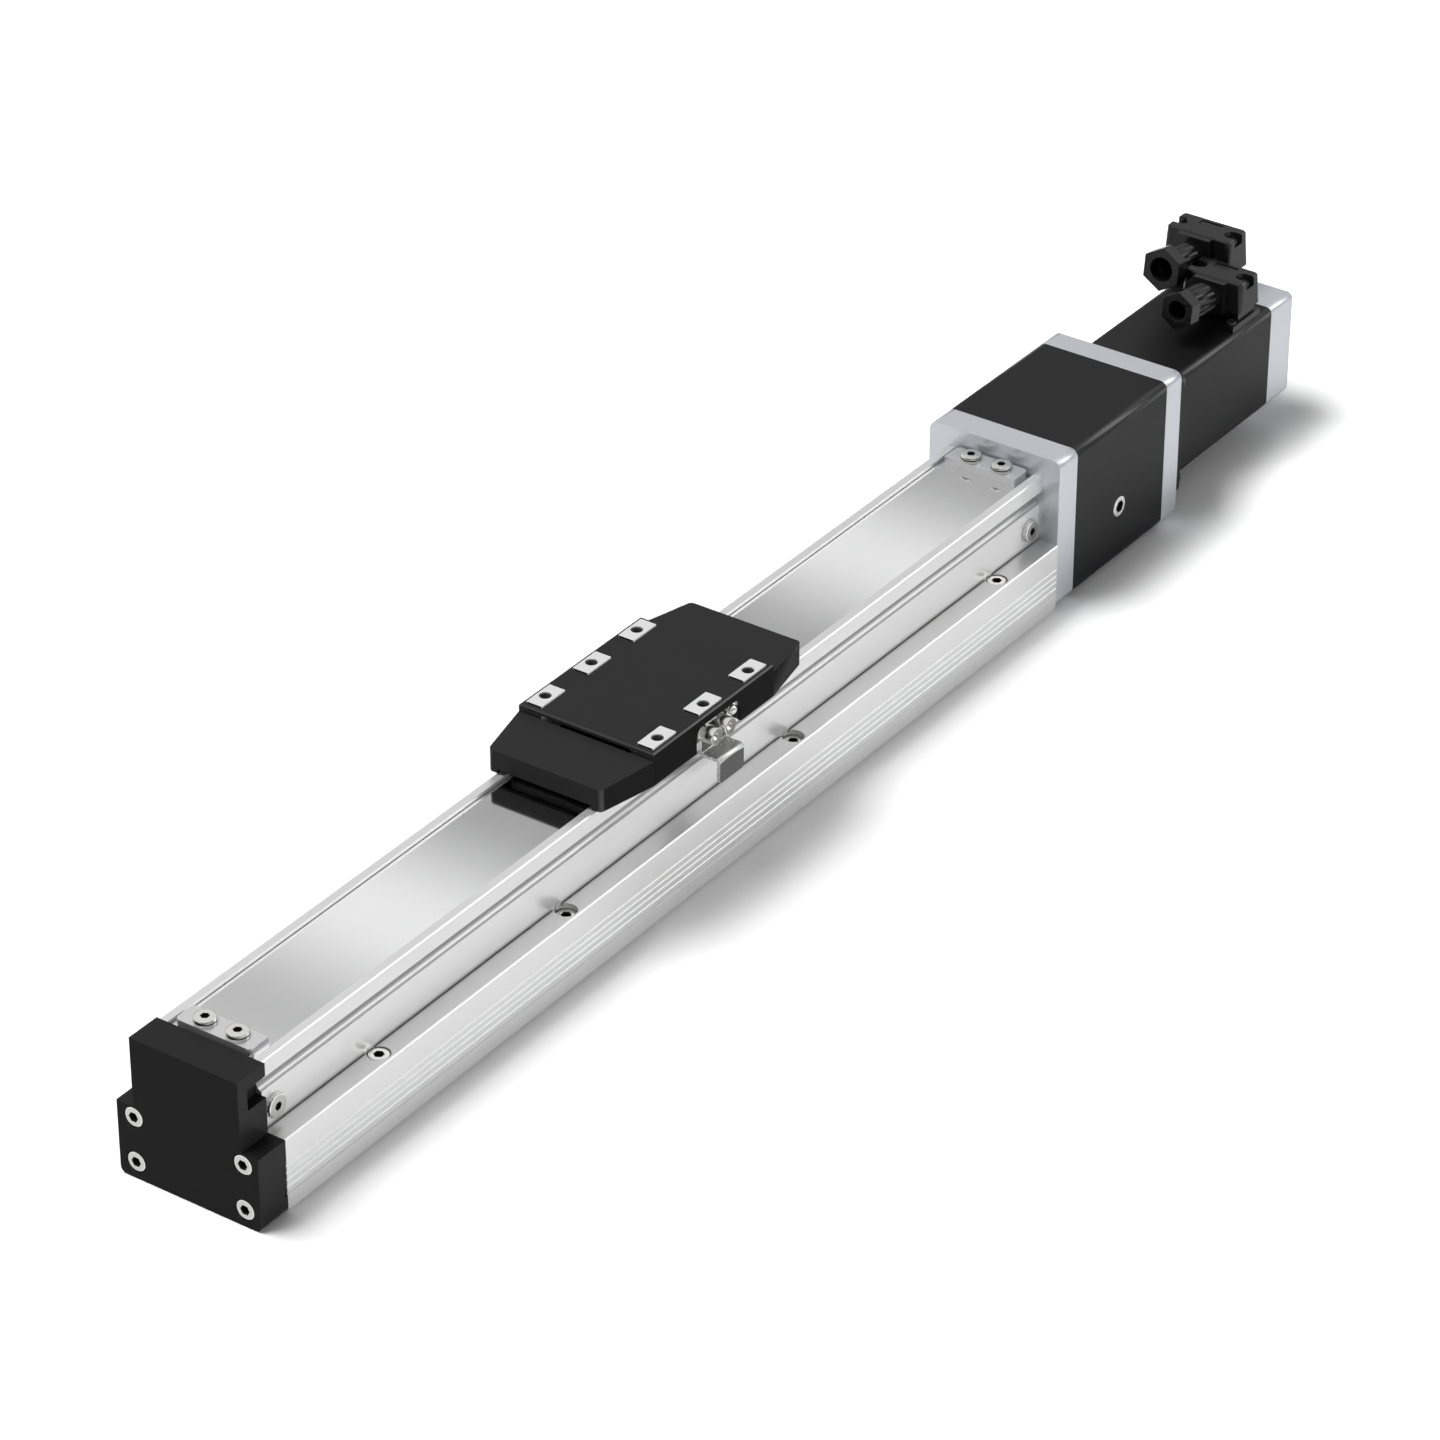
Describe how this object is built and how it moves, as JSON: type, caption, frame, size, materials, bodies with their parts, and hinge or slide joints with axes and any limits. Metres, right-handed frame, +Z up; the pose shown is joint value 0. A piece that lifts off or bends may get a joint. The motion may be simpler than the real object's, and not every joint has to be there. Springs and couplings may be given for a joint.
{
  "type": "ball screw linear module",
  "caption": "Ball screw linear module: a slider with mounting pads runs along a strip-covered aluminium body, driven by a servo motor through a coupling.",
  "frame": {"origin": "middle of the body extrusion's mounting face, on the table that it is bolted to", "axes": "+X along the travel, towards the motor; +Z up, out of the body towards the slider; the flank with the sensor flag faces -Y"},
  "size_m": [0.6112, 0.0574, 0.0772],
  "materials": {
    "body_aluminium": "satin anodised",
    "plate_aluminium": "matt anodised",
    "black_aluminium": "satin black anodised",
    "motor_black": "satin black paint",
    "black_plastic": "matt",
    "strip_steel": "polished",
    "screw_steel": "bright",
    "screw_black": "black oxide",
    "bearing_steel": "ground",
    "rubber": "matt",
    "magnet_rubber": "matt",
    "roller_plastic": "smooth",
    "coupling_rubber": "satin"
  },
  "bodies": {
    "base": {"body_profile": "body_aluminium", "guide_rails": "bearing_steel", "magnet_strips": "magnet_rubber", "cover_strip": "strip_steel", "strip_clamps": "screw_steel", "strip_clamp_screws": "screw_steel", "free_end_cap": "black_aluminium", "cap_screws": "screw_steel", "free_bearing_block": "black_aluminium", "fixed_bearing_block": "black_aluminium", "free_bearing_outer_ring": "bearing_steel", "fixed_bearing_outer_rings": "bearing_steel", "bearing_retainer": "plate_aluminium", "retainer_screws": "screw_steel", "rubber_bumpers": "rubber", "side_screws": "screw_steel", "ledge_screws": "screw_steel", "front_plate": "plate_aluminium", "front_plate_screws": "screw_steel", "coupling_housing": "black_aluminium", "access_plug": "screw_steel", "rear_plate": "plate_aluminium", "tie_screws": "screw_steel", "motor_flange": "motor_black", "motor_flange_screws": "screw_black", "motor_body": "motor_black", "encoder_cover": "plate_aluminium", "encoder_cover_screws": "screw_steel", "power_connector": "black_plastic", "encoder_connector": "black_plastic", "connector_screws": "screw_black", "power_gland_sleeve": "black_plastic", "encoder_gland_sleeve": "black_plastic", "power_gland_nut": "black_plastic", "encoder_gland_nut": "black_plastic"},
    "screw": {"ball_screw": "bearing_steel", "free_bearing_inner_ring": "bearing_steel", "snap_ring": "screw_steel", "fixed_bearing_inner_rings": "bearing_steel", "lock_nut": "screw_steel", "screw_coupling_hub": "plate_aluminium", "motor_coupling_hub": "plate_aluminium", "coupling_element": "coupling_rubber", "coupling_screws": "screw_steel", "motor_shaft": "bearing_steel"},
    "carriage": {"slide_block": "bearing_steel", "ball_nut": "bearing_steel", "nut_screws": "screw_steel", "return_caps": "black_plastic", "guide_balls": "bearing_steel", "slider_table": "body_aluminium", "table_screws": "screw_steel", "slider_cover": "black_aluminium", "slider_end_covers": "black_plastic", "roller_pins": "screw_steel", "flag_bracket": "screw_steel", "flag_screws": "screw_steel", "grease_nipple": "screw_steel"},
    "free_roller": {"free_strip_roller": "roller_plastic"},
    "motor_roller": {"motor_strip_roller": "roller_plastic"}
  },
  "joints": [
    {"name": "carriage_slide", "type": "slide", "parent": "base", "child": "carriage", "axis": [1, 0, 0], "range_m": [-0.152, 0.138], "deforming": ["cover_strip"]},
    {"name": "screw_spin", "type": "hinge", "parent": "base", "child": "screw", "pos_m": [0, 0, 0.03], "axis": [1, 0, 0], "range_deg": [-4969, 5473]},
    {"name": "free_roller_spin", "type": "hinge", "parent": "carriage", "child": "free_roller", "pos_m": [-0.0422, 0, 0.0542], "axis": [0, 1, 0], "range_deg": [-2179, 1979]},
    {"name": "motor_roller_spin", "type": "hinge", "parent": "carriage", "child": "motor_roller", "pos_m": [0.0562, 0, 0.0542], "axis": [0, 1, 0], "range_deg": [-2179, 1979]}
  ],
  "couplings": [
    {"joint": "screw_spin", "follows": "carriage_slide", "rad_per_m": -628.32},
    {"joint": "free_roller_spin", "follows": "carriage_slide", "rad_per_m": 250},
    {"joint": "motor_roller_spin", "follows": "carriage_slide", "rad_per_m": 250}
  ]
}
